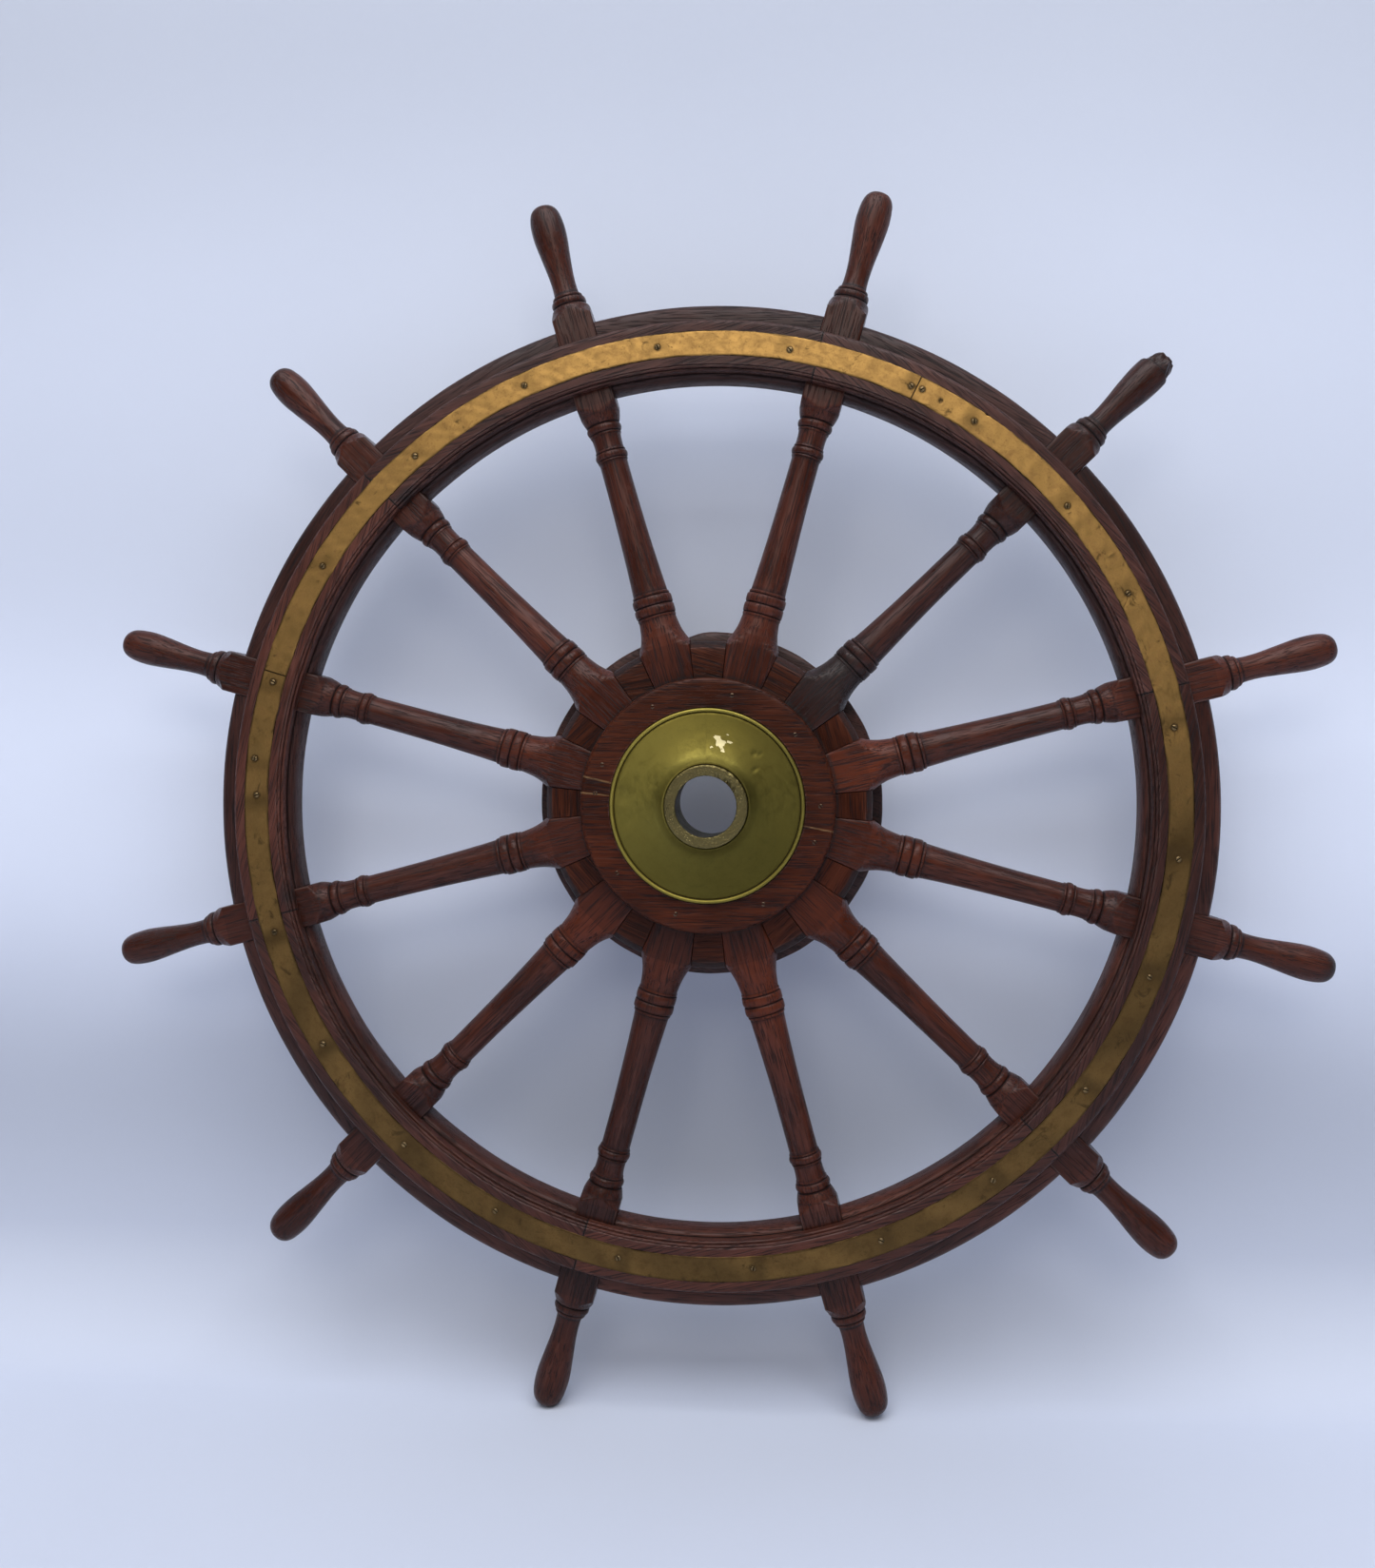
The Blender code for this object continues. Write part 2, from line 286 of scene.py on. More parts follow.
class Nodes:
    """The tree of a material or a world. Each call adds a node and gives back its output."""

    def __init__(self, owner, shader="Principled BSDF"):
        owner.use_nodes = True
        self.owner = owner
        self.tree = owner.node_tree
        self.shader = self.tree.nodes[shader]

    def add(self, kind, inputs=(), output=0, **settings):
        node = self.tree.nodes.new(kind)
        for key, value in settings.items():
            setattr(node, key, value)
        for key, value in dict(inputs).items():
            self.put(node, key, value)
        return node.outputs[output]

    def put(self, node, key, value):
        if isinstance(value, bpy.types.NodeSocket):
            self.tree.links.new(value, node.inputs[key])
        else:
            node.inputs[key].default_value = value

    def attribute(self, name, output="Vector"):
        return self.add("ShaderNodeAttribute", output=output, attribute_name=name)

    def marks(self):
        """The tone, soot and hollow of a mark. On some pieces they also carry painted light and shade."""
        return self.add("ShaderNodeSeparateXYZ", {0: self.attribute("mark")}).node.outputs

    def noise(self, vector, scales, detail, roughness, distortion=0.0):
        """Noise with its own scale along each axis of the vector."""
        scaled = self.add("ShaderNodeVectorMath", {0: vector, 1: scales}, operation="MULTIPLY")
        inputs = {"Vector": scaled, "Scale": 1.0, "Detail": detail, "Roughness": roughness}
        return self.add("ShaderNodeTexNoise", {**inputs, "Distortion": distortion})

    def plus(self, a, b, clamp=False):
        return self.add("ShaderNodeMath", {0: a, 1: b}, operation="ADD", use_clamp=clamp)

    def times(self, a, b):
        return self.add("ShaderNodeMath", {0: a, 1: b}, operation="MULTIPLY")

    def span(self, value, low, high, to_low=0.0, to_high=1.0):
        inputs = {"Value": value, 1: low, 2: high, 3: to_low, 4: to_high}
        return self.add("ShaderNodeMapRange", inputs, interpolation_type="SMOOTHSTEP")

    def mix(self, factor, a, b):
        inputs = {0: factor, 6: rgba(a), 7: rgba(b)}
        return self.add("ShaderNodeMix", inputs, 2, data_type="RGBA")

    def gain(self, colour, value):
        return self.add("ShaderNodeVectorMath", {0: colour, "Scale": value}, operation="SCALE")

    def finish(self, colour, roughness, height, distance, **fixed):
        """Joins the shader up. fixed gives more of its values, with _ for each space."""
        shader = self.shader
        self.put(shader, "Base Color", colour)
        self.put(shader, "Roughness", roughness)
        inputs = {"Height": height, "Distance": distance, "Strength": 1.0}
        self.put(shader, "Normal", self.add("ShaderNodeBump", inputs))
        for key, value in fixed.items():
            shader.inputs[key.replace("_", " ")].default_value = value
        return self.owner


def rgba(colour):
    return (*colour, 1.0) if isinstance(colour, tuple) else colour


PORE_COLOUR = (0.007, 0.003, 0.003)
# The near-black of dirt and painted shade in hollows
GRIME_AND_SHADE_COLOUR = (0.010, 0.006, 0.006)
WORN_COLOUR = (0.135, 0.085, 0.072)
# The dark grey of soot stains, also used for painted shadow and shade
SOOT_AND_SHADOW_COLOUR = (0.018, 0.014, 0.013)
BARE_COLOUR = (0.26, 0.14, 0.06)


def wood(name, dark, mid, light, warm_colour, rough, shine, pore_depth=0.00030):
    """Open-pored wood: dirt and painted shade in hollows, worn on ridges, and bare where soot is
    negative.
    """
    n = Nodes(bpy.data.materials.new(name))
    grain = n.attribute("grain")
    tone, soot, hollow = n.marks()
    warm = n.attribute("warm", "Fac")
    broad = n.noise(grain, (150, 150, 4.0), 6, 0.68, 0.5)
    fine = n.noise(grain, (500, 500, 12), 4, 0.68, 0.4)
    pores = n.noise(grain, (740, 740, 26), 2, 0.5)
    patch = n.noise(grain, (14, 14, 8), 4, 0.6)
    pore = n.span(pores, 0.53, 0.62)
    figure = n.plus(n.times(broad, 0.50), n.times(fine, 0.50))
    low = n.mix(n.span(figure, 0.38, 0.50), dark, mid)
    colour = n.mix(n.span(figure, 0.50, 0.62), low, light)
    colour = n.mix(n.times(warm, n.span(patch, 0.30, 0.65, 0.55, 1.0)), colour, warm_colour)
    colour = n.gain(colour, n.span(patch, 0.32, 0.68, 0.74, 1.28))
    colour = n.gain(colour, n.plus(tone, 1.0))
    colour = n.mix(n.times(pore, 0.74), colour, PORE_COLOUR)
    # Hollows get dirt and painted shade: they are darkened towards a near-black colour.
    grime_and_shade = n.times(n.span(hollow, 0.05, 0.75), 0.75)
    colour = n.mix(grime_and_shade, colour, GRIME_AND_SHADE_COLOUR)
    worn = n.span(n.times(hollow, -1.0), 0.35, 0.95)
    worn = n.times(worn, n.span(fine, 0.42, 0.62, 0.0, 0.42))
    colour = n.mix(worn, colour, WORN_COLOUR)
    # Soot stains, and painted shadow and shade where the soot mark carries them
    soot_and_shadow = n.times(n.span(soot, 0.0, 1.0), n.span(patch, 0.25, 0.6, 0.72, 1.0))
    soot_and_shadow = n.times(soot_and_shadow, n.span(figure, 0.42, 0.58, 0.92, 0.62))
    colour = n.mix(soot_and_shadow, colour, SOOT_AND_SHADOW_COLOUR)
    bare = n.span(n.times(soot, -1.0), 0.2, 0.9)
    bare = n.times(bare, n.span(fine, 0.35, 0.6, 0.25, 0.9))
    colour = n.mix(bare, colour, BARE_COLOUR)
    roughness = n.plus(n.span(patch, 0.3, 0.7, rough - 0.07, rough + 0.10),
                       n.times(pore, 0.22))
    roughness = n.plus(roughness, n.times(grime_and_shade, 0.25), clamp=True)
    height = n.plus(n.times(fine, 0.55), n.times(pore, -0.75))
    height = n.plus(height, n.times(broad, 0.8))
    return n.finish(colour, roughness, height, pore_depth, Specular_IOR_Level=shine)


DIRT_COLOUR = (0.035, 0.026, 0.012)
SPLATTER_COLOUR = (0.62, 0.54, 0.30)


def brass(name, bright, brown, olive, rough, mottled, scratch=0.00006):
    """Aged brass: dirty in hollows, olive where there is soot, and pale where soot is negative."""
    n = Nodes(bpy.data.materials.new(name))
    grain = n.attribute("grain")
    tone, soot, hollow = n.marks()
    cloud = n.noise(grain, (90, 90, 70), 6, 0.68, 0.4)
    speck = n.noise(grain, (420, 420, 360), 4, 0.7)
    rub = n.noise(grain, (900, 900, 25), 3, 0.6)
    stain = n.noise(grain, (48, 48, 34), 8, 0.74, 1.2)
    colour = n.mix(n.times(n.span(cloud, 0.40, 0.72), 0.55 * mottled), bright, brown)
    colour = n.mix(n.times(n.span(speck, 0.54, 0.68), 0.50 * mottled), colour, brown)
    colour = n.mix(n.times(n.span(stain, 0.56, 0.66), 0.70 * mottled), colour, olive)
    colour = n.mix(n.span(soot, 0.0, 1.0, 0.0, 0.85), colour, olive)
    colour = n.gain(colour, n.plus(tone, 1.0))
    dirt = n.times(n.span(hollow, 0.05, 0.8), 0.9)
    colour = n.mix(dirt, colour, DIRT_COLOUR)
    splatter = n.span(n.times(soot, -1.0), 0.45, 0.55)
    colour = n.mix(splatter, colour, SPLATTER_COLOUR)
    roughness = n.plus(n.span(cloud, 0.3, 0.7, rough - 0.05, rough + 0.12),
                       n.times(n.span(speck, 0.5, 0.7), 0.10))
    roughness = n.plus(roughness, n.times(dirt, 0.3), clamp=True)
    height = n.plus(n.times(speck, 0.6), n.times(rub, 0.4))
    height = n.plus(height, n.times(cloud, 1.4))
    return n.finish(colour, roughness, height, scratch, Metallic=1.0)


SPOKE_WOOD = wood("turned_mahogany", (0.031, 0.009, 0.005), (0.053, 0.014, 0.008),
                  (0.078, 0.027, 0.018), (0.114, 0.019, 0.003), rough=0.28, shine=0.22)
RIM_WOOD = wood("rim_mahogany", (0.025, 0.010, 0.007), (0.042, 0.015, 0.011),
                (0.064, 0.026, 0.019), (0.088, 0.021, 0.009), rough=0.36, shine=0.24)
NAVE_WOOD = wood("nave_mahogany", (0.015, 0.004, 0.002), (0.046, 0.010, 0.003),
                 (0.082, 0.022, 0.009), (0.100, 0.016, 0.003), rough=0.34, shine=0.15,
                 pore_depth=0.00042)
BAND_BRASS = brass("rolled_brass", (0.43, 0.245, 0.074), (0.24, 0.125, 0.042),
                   (0.056, 0.034, 0.015), rough=0.42, mottled=1.0)
PLATE_BRASS = brass("cast_brass", (0.20, 0.160, 0.034), (0.15, 0.116, 0.026),
                    (0.10, 0.085, 0.026), rough=0.42, mottled=0.30)
BOSS_BRONZE = brass("bush_bronze_worn", (0.19, 0.150, 0.058), (0.085, 0.066, 0.030),
                    (0.055, 0.050, 0.027), rough=0.40, mottled=1.0, scratch=0.00026)
SCREW_BRASS = brass("screw_brass", (0.25, 0.170, 0.080), (0.080, 0.052, 0.027),
                    (0.045, 0.034, 0.020), rough=0.36, mottled=1.0)
BLACK_SCREW = brass("blackened_brass", (0.110, 0.075, 0.050), (0.050, 0.034, 0.025),
                    (0.028, 0.022, 0.018), rough=0.26, mottled=1.0)


# ---------------- spokes

# The (distance, radius) points of the arches where square wood turns round, and of the hand grip
ROOT_ARCH = [(190, 40), (196, 34.6), (199, 32.3), (202, 30.7), (205, 29.3), (208, 28.1), (211, 27.1),
             (214, 26.2), (217, 25.4), (220, 24.8), (223, 24.3), (226, 23.9), (230, 23.4), (233.5, 23.0)]
BLOCK_ARCH = [(482, 21.0), (486, 22.5), (490, 23.7), (492.5, 24.3), (495, 25.6), (498, 28.3), (501, 31.4),
              (504.5, 34.8), (508, 40)]
OUTER_ARCH = [(611, 40), (614, 35.6), (616, 33.2), (619, 29.9), (622, 27.3), (625, 25.3), (627.5, 24.2),
              (629.5, 23.4), (631.3, 22.2), (632.2, 20.6)]
GRIP = [(646.8, 16.4), (649, 15.5), (652, 15.1), (658, 14.8), (665, 14.8), (673, 15.2), (681, 15.9),
        (690, 16.9), (701, 18.2), (712, 19.5), (721, 20.35), (729, 20.7), (737, 20.45), (744, 19.7),
        (750, 18.5), (755, 16.6), (759, 13.4), (761.2, 9.8), (762, 5.0)]
CHIPPED_GRIP = [(646.8, 16.4), (649, 15.6), (652, 15.2), (658, 14.9), (666, 15.2), (676, 16.0),
                (688, 17.4), (702, 19.1), (716, 20.4), (728, 21.0), (738, 20.6), (741.5, 20.0)]
# The broken end of one grip
CHIPPED_END = [(742.3, 18.2), (746, 17.4), (751, 15.8), (756, 13.9), (759.8, 12.2), (761.4, 10.6),
               (762, 7.6)]
CHIPPED_SPOKE = 2
CHIP_START = 741.0
SHAFT_START, SHAFT_END = 266.0, 434.0
SHAFT_THICK, SHAFT_THIN = 21.35, 17.35
GRIP_START, GRIP_END = 647.0, 762.0
# A radius past the corners of the blank, where the wood stays square
UNCUT = 42.0
# A turning radius above which the section still shows its flats
FLAT_RADIUS = 33.5
# Where the wedge of the root ends, and the stretch that lies in the rim
ROOT_END = 232.0
RIM_START, RIM_END = 482.0, 630.0
# The power of the superellipse that is the square section
SQUARENESS = 26.0
WARMTH_START, WARMTH_FADE = 215.0, 90.0


def turned_profile(rng, chipped):
    """(distance, radius) points of the turning. The three arches vary, as hand work does."""
    root, block, outer = rng.uniform((-3.0, -2.5, -1.5), (2.5, 2.0, 1.5))
    share = np.linspace(0, 1, 26)
    shaft = np.stack([SHAFT_START + share * (SHAFT_END - SHAFT_START),
                      SHAFT_THIN + (SHAFT_THICK - SHAFT_THIN) * (1 - share) ** 2.25], 1)
    parts = [
        [(d, UNCUT) for d in (63.0, 100, 140, 150, 152.6, 155.4, 158, 170, 182 + root)],
        smooth([(d + root * (233.5 - d) / 43.5, r) for d, r in ROOT_ARCH], 4),
        bead(233.9, 237.4, 22.9, 23.9, 5),
        bead(237.7, 249.6, 22.6, 25.7, 11),
        bead(249.9, 261.3, 22.6, 25.4, 11),
        bead(261.6, 265.4, 21.9, 22.9, 5),
        shaft,
        bead(434.3, 437.0, 17.4, 18.7, 5),
        bead(437.2, 446.2, 17.6, 20.1, 9),
        bead(446.4, 449.2, 17.6, 18.7, 5),
        smooth([(449.5, 17.5), (455, 17.4), (461, 17.6), (466.8, 18.2)], 4),
        bead(467.0, 470.4, 18.2, 19.3, 5),
        bead(470.7, 480.6, 18.6, 21.5, 9),
        [(481.0, 19.7), (481.6, 19.9)],
        smooth([(d + block * (d - 482) / 26, r) for d, r in BLOCK_ARCH], 4),
        [(d, UNCUT) for d in (520, 545, 570, 590, 600)],
        smooth([(d + outer * (632.2 - d) / 21, r) for d, r in OUTER_ARCH], 4),
        [(632.8, 20.2)],
        bead(633.3, 641.4, 19.9, 21.5, 9),
        bead(641.7, 646.4, 17.2, 18.8, 7),
    ]
    parts += [smooth(CHIPPED_GRIP, 3), smooth(CHIPPED_END, 3)] if chipped else [smooth(GRIP, 4)]
    return np.vstack([np.array(part, float) for part in parts])


def section_directions(per_side=13):
    """Points round a square of half side 1, closer together towards its corners."""
    t = np.linspace(-1, 1, per_side, endpoint=False)
    t = np.sign(t) * (1 - (1 - np.abs(t)) ** 1.7)
    sides = []
    x, y = np.ones_like(t), t
    for _ in range(4):
        sides.append(np.stack([x, y], 1))
        x, y = -y, x
    return np.vstack(sides)


# The (distance, width, darkness) of grey or black places, by spoke number
STAINS = {
    1: [(628, 20, 0.55)],
    2: [(182, 26, 0.42), (226, 34, 0.85), (478, 16, 0.50), (640, 24, 0.55), (752, 22, 0.55)],
    3: [(757, 12, 0.45)],
    4: [(758, 14, 0.95)],
    10: [(505, 14, 0.45), (620, 16, 0.35)],
    11: [(756, 16, 0.60), (500, 16, 0.35)],
    12: [(744, 26, 0.45), (505, 16, 0.4)],
}
# How much lighter, and how much more orange at its root, each spoke is
SPOKE_TONES = (0.25, -0.08, 0.20, 0.06, 0.0, 0.04, -0.16, -0.08, -0.06, -0.04, 0.32, 0.12)
SPOKE_WARMTH = (0.20, 0.0, 0.60, 0.70, 0.80, 0.70, 0.45, 0.50, 0.50, 0.45, 0.40, 0.25)
# The radius just past the edge of the front ring, where a dark line of painted shadow lies on the spokes
# and blocks
RING_SHADOW_RADIUS = 154.6


def groove_depths(distance, radius):
    """0 to 1 for each point of a turning: how far it lies below the mean of its neighbours."""
    even = np.arange(60.0, 770.0, 0.5)
    capped = np.minimum(np.interp(even, distance, radius), 27.0)
    mean = np.convolve(np.pad(capped, 8, mode="edge"), np.ones(17) / 17, mode="valid")
    return np.interp(distance, even, np.clip((mean - capped) / 0.9, 0, 1))


def spoke_marks(number, x, z, distance, radius, square, tone):
    """The tone, soot and hollow of each point of a spoke."""
    mark = np.zeros((*x.shape, 3))
    mark[..., 0] = tone
    for centre, width, darkness in STAINS.get(number, ()):
        mark[..., 1] += darkness * hill(distance, centre, width)[:, None]
    mark[..., 0] -= 0.24 * (radius > FLAT_RADIUS)[:, None]
    # A dark line of painted shadow just past the front ring's edge
    mark[..., 1] += 0.85 * hill(np.hypot(x, z), RING_SHADOW_RADIUS, 2.4)
    mark[..., 2] = groove_depths(distance, radius)[:, None]
    corner = np.minimum(np.abs(square[:, 0]), np.abs(square[:, 1])) > 0.93
    block = (radius > FLAT_RADIUS) & (distance > SHAFT_START)
    mark[..., 2] -= 0.9 * corner[None, :] * block[:, None]
    return mark


def make_spoke(index):
    number = index + 1
    rng = np.random.default_rng(400 + number)
    profile = turned_profile(rng, number == CHIPPED_SPOKE)
    distance, radius = profile.T
    along_grip = (distance - GRIP_START) / (GRIP_END - GRIP_START)
    distance = distance + GRIP_MORE[index] * np.clip(along_grip, 0, 1)
    square = section_directions()
    wedge = distance * math.tan(math.radians(ROOT_HALF_ANGLE)) - GAP / 2
    half_x = np.where(distance < ROOT_END, wedge, BLANK_HALF)[:, None]
    half_y = np.full_like(half_x, BLANK_HALF)
    aim_x, aim_y = square[None, :, 0] * half_x, square[None, :, 1] * half_y
    length = np.hypot(aim_x, aim_y)
    aim_x, aim_y = aim_x / length, aim_y / length
    flat = (np.abs(aim_x) / half_x) ** SQUARENESS + (np.abs(aim_y) / half_y) ** SQUARENESS
    reach = np.minimum(radius[:, None], flat ** (-1 / SQUARENESS))
    turn = np.arctan2(aim_y, aim_x)
    wear = 0.10 * np.sin(2 * turn + distance[:, None] / 37 + rng.uniform(0, 6))
    wear += 0.07 * np.sin(3 * turn - distance[:, None] / 19 + rng.uniform(0, 6))
    free = (distance > 240) & (distance < RIM_START) | (distance > RIM_END)
    reach += wear * free[:, None]
    if number == CHIPPED_SPOKE:
        broken = np.clip((distance - CHIP_START) / 4, 0, 1)[:, None]
        facets = 1.3 * np.sin(5 * turn + 1.0) + 0.8 * np.sin(9 * turn + distance[:, None] / 3)
        reach += broken * (facets - 0.6)
        notch = hill(distance, CHIP_START + 3, 3.0)[:, None] * hill(turn, 0.4, 0.7)
        reach -= 2.0 * notch
    x, y = reach * aim_x, reach * aim_y
    z = np.broadcast_to(distance[:, None], x.shape)
    points = np.stack([x, y, z], -1) * MM
    grain = points + rng.uniform(-5, 5, 3)
    tone = SPOKE_TONES[index] + 0.05 * rng.uniform(-1, 1)
    mark = spoke_marks(number, x, z, distance, radius, square, tone)
    warm = np.full(x.shape, SPOKE_WARMTH[index])
    warm *= (1 - 0.75 * np.clip((distance - WARMTH_START) / WARMTH_FADE, 0, 1))[:, None]
    mesh = skin(f"turned_spoke_{number:02d}", points, grain, mark, warm, False)
    mesh.transform(Matrix.Rotation(math.radians(SPOKE_ANGLES[index]), 4, "Y"))
    piece(mesh, SPOKE_WOOD, [f"spoke_{number:02d}"])


for spoke in range(SPOKES):
    make_spoke(spoke)


# ---------------- rim


def angle_at(angles, index):
    """One of the angles round a circle, where the index may lie past either end of the list."""
    return angles[index % len(angles)] + 360.0 * (index // len(angles))


def hand_wave(seed, radial, high, waves=(5, 9, 14, 23, 37)):
    """A shift that gives a swept piece the slight unevenness of hand work."""

    def shift(angles, radii, heights):
        return radial * ripple(angles, seed, waves), high * ripple(angles, seed + 1, waves)

    return shift


# How much lighter, and how much more orange, each felloe is
FELLOE_TONES = (-0.08, 0.04, -0.10, 0.02, 0.06, 0.10, 0.08, 0.04, 0.0, -0.06, 0.0, 0.05)
FELLOE_WARMTH = (0.0, 0.0, 0.1, 0.3, 0.45, 0.5, 0.45, 0.3, 0.3, 0.1, 0.05, 0.0)


def felloe_outline():
    """The rim between its facings, with a rounded inner and a softer outer edge."""
    roll = np.radians(np.linspace(0, 90, 12))
    inner = np.stack([518.9 - 7.2 * np.sin(roll), 4.5 + 15.8 * np.cos(roll)], 1)
    half = np.vstack([
        inner[::-1],
        [(519.6, 19.4), (520.3, 20.6), (521.2, 24.2), (578.8, 24.2), (581.4, 24.0), (582.4, 23.1)],
        smooth([(583.2, 23.3), (588.6, 22.9), (594, 22.2), (598.6, 20.6), (601.9, 17.6), (603.7, 13.2),
                (604.4, 8.0)], 4),
    ])
    return np.vstack([half, half[::-1] * (1, -1)])


def make_felloes():
    outline = felloe_outline()
    for i in range(SPOKES):
        mesh = swept(f"rim_felloe_{i + 1:02d}", outline, angle_at(SPOKE_ANGLES, i - 1),
                     SPOKE_ANGLES[i], 1.0, inset=BLANK_HALF + GAP,
                     shift=hand_wave(40 + 3 * i, 0.12, 0.12), seed=70 + i,
                     tone=FELLOE_TONES[i], warm=FELLOE_WARMTH[i])
        piece(mesh, RIM_WOOD, [f"felloe_{i + 1:02d}"])


BAND_INNER, BAND_OUTER = 536.8, 566.1
BAND_MIDDLE = (BAND_INNER + BAND_OUTER) / 2
# The circle that the band's screws are near
SCREW_CIRCLE = 551
BAND_JOINTS = (26.5, 286.7)
BAND_JOINT_GAP = 0.35
BAND_THICKNESS = 2.7
FACING_JOINTS = (13.7, 75.4, 134.7, 196.0, 255.5, 313.7)
REAR_JOINTS = (45.3, 104.8, 164.6, 225.2, 285.0, 345.4)
# How much lighter each front facing is: its own tone, with painted light from above added to the upper
# facings
FACING_TONES = (0.50, -0.15, 0.15, -0.05, 0.50, 0.25)
FACING_WARMTH = (0.05, 0.25, 0.45, 0.40, 0.30, 0.10)
FACING_INNER, FACING_OUTER = 520.0, 580.0
FACING_STEP = 0.75
# A crack in the last front facing, as two (angle, radius) ends. It needs smaller steps.
CRACK = ((10.2, 537.0), (7.0, 521.5))
CRACKED_FACING, CRACKED_STEP = 5, 0.12
CRACK_HALF_WIDTH = 1.1


def facing_outline(grooved):
    """A moulded facing ring. The front one has a groove that the band lies in."""
    top, back = FACING_FRONT, FACING_BACK
    floor = BAND_TOP - BAND_THICKNESS - GAP
    parts = [
        [(FACING_INNER, back), (FACING_INNER, top - 8.4)],
        arc_points(522.0, top - 6.8, 2.0, 180, 62),
        [(523.25, top - 6.2)],
        arc_points(525.0, top - 3.1, 1.9, 200, 66),
        [(526.1, top - 2.2), (526.5, top - 0.7), (527.3, top)],
        line(529.5, top, BAND_INNER - 1.2, top, 4),
    ]
    if grooved:
        inner, outer = BAND_INNER - 0.35, BAND_OUTER + 0.35
        parts += [[(inner, top), (inner, floor), (outer, floor), (outer, top)]]
    parts += [
        line(BAND_OUTER + 1.4, top, 575.0, top, 4),
        [(577.4, top - 0.5), (578.9, top - 1.5), (579.8, top - 3.0), (FACING_OUTER, top - 4.8),
         (FACING_OUTER, back)],
    ]
    return np.vstack([np.array(part, float) for part in parts])


def facing_soot(angles, radii, heights):
    """Dark stains just past some joints of the front facings, and the crack."""
    inner = np.clip((536 - radii) / 8, 0, 1)
    stains = 0.9 * round_hill(angles, 257.5, 1.6) + 0.8 * round_hill(angles, 315.6, 1.8)
    stains += 0.35 * round_hill(angles, 77.0, 1.2)
    (near, high), (far, low) = CRACK
    share = (high - radii) / (high - low)
    off = (degrees_from(angles, near) - (far - near) * share) * math.radians(SCREW_CIRCLE)
    crack = (np.abs(off) < CRACK_HALF_WIDTH) & (share > 0) & (share < 1)
    return np.maximum(stains * inner, crack)


def make_facings():
    front, rear = facing_outline(True), facing_outline(False) * (1, -1)
    for i, start in enumerate(FACING_JOINTS):
        end = angle_at(FACING_JOINTS, i + 1)
        step = CRACKED_STEP if i == CRACKED_FACING else FACING_STEP
        mesh = swept(f"moulded_front_facing_{i + 1}", front, start, end, step, inset=0.32,
                     shift=hand_wave(110 + 5 * i, 0.22, 0.16), seed=130 + i, soot=facing_soot,
                     tone=FACING_TONES[i], warm=FACING_WARMTH[i], ends=(0.9, 1.0))
        piece(mesh, RIM_WOOD, [f"front_facing_{i + 1}"])
        start, end = REAR_JOINTS[i], angle_at(REAR_JOINTS, i + 1)
        mesh = swept(f"moulded_rear_facing_{i + 1}", rear, start, end, FACING_STEP, inset=0.26,
                     shift=hand_wave(150 + 5 * i, 0.22, 0.16), seed=170 + i, tone=-0.05, warm=0.1)
        piece(mesh, RIM_WOOD, [f"rear_facing_{i + 1}"])


# (angle, radius) of the band's screws, and of its one empty hole
BAND_SCREWS = ((10.2, 550), (25.85, 551), (27.25, 553), (34.7, 551), (50.1, 549), (63.05, 550.5),
               (80.25, 551), (96.2, 551), (110.9, 551), (126.65, 551), (142.45, 551), (158.05, 551),
               (174.2, 551), (191.05, 551), (207.5, 551), (221.65, 551), (237.95, 551), (253.4, 551),
               (271.0, 551), (285.55, 551), (301.6, 551), (319.85, 551), (336.3, 551), (353.7, 551),
               (275.6, 556))
EMPTY_HOLE = (29.9, 551)
# How much darker and more olive the band is, by angle: most round its lower half
BAND_DARKENING_ANGLES = (0, 70, 95, 215, 245, 280, 300, 340, 360)
BAND_DARKENING = (0.12, 0.0, 0.78, 0.85, 0.72, 0.36, 0.22, 0.12, 0.12)


def band_shift(angles, radii, heights):
    """The thin band is pulled in at its screws, stands proud between them, and is dented."""
    high = 0.16 * ripple(angles, 301, (19, 31, 47, 76)) + 0.05 * ripple(angles, 302, (120, 170, 240))
    high += 0.06 * ripple(angles + (radii - SCREW_CIRCLE) / 9, 303, (95, 140, 210))
    for angle, radius in BAND_SCREWS:
        away = arc_from(angles, angle, SCREW_CIRCLE)
        pull = hill(away, 0, 9) * hill(radii, radius, 13)
        high += -0.42 * pull + 0.16 * hill(away, 19.0, 8.0) + 0.12 * hill(away, -19.0, 8.0)
    high -= 0.35 * round_hill(angles, 57.8, 0.9) * hill(radii, 556, 10)
    high -= 0.30 * round_hill(angles, 74.0, 1.3) * hill(radii, 541, 12)
    empty = arc_from(angles, EMPTY_HOLE[0], SCREW_CIRCLE)
    hole = hill(empty, 0, 1.9) * hill(radii, EMPTY_HOLE[1], 1.9)
    high = np.clip(high, -0.75, 0.62) - 1.6 * hole
    front = heights > BAND_TOP - 1.5
    edge = np.clip((np.abs(radii - BAND_MIDDLE) - 13.6) / 1.05, 0, 1)
    side = 0.28 * ripple(angles, 305, (60, 110, 190, 300, 420))
    side += 0.35 * ripple(angles, 306, (7, 12, 20))
    nick = 1.6 * round_hill(angles, 35.5, 0.18) * (radii > 560)
    return side * edge - nick, np.where(front, high, 0.0) - 0.12 * edge


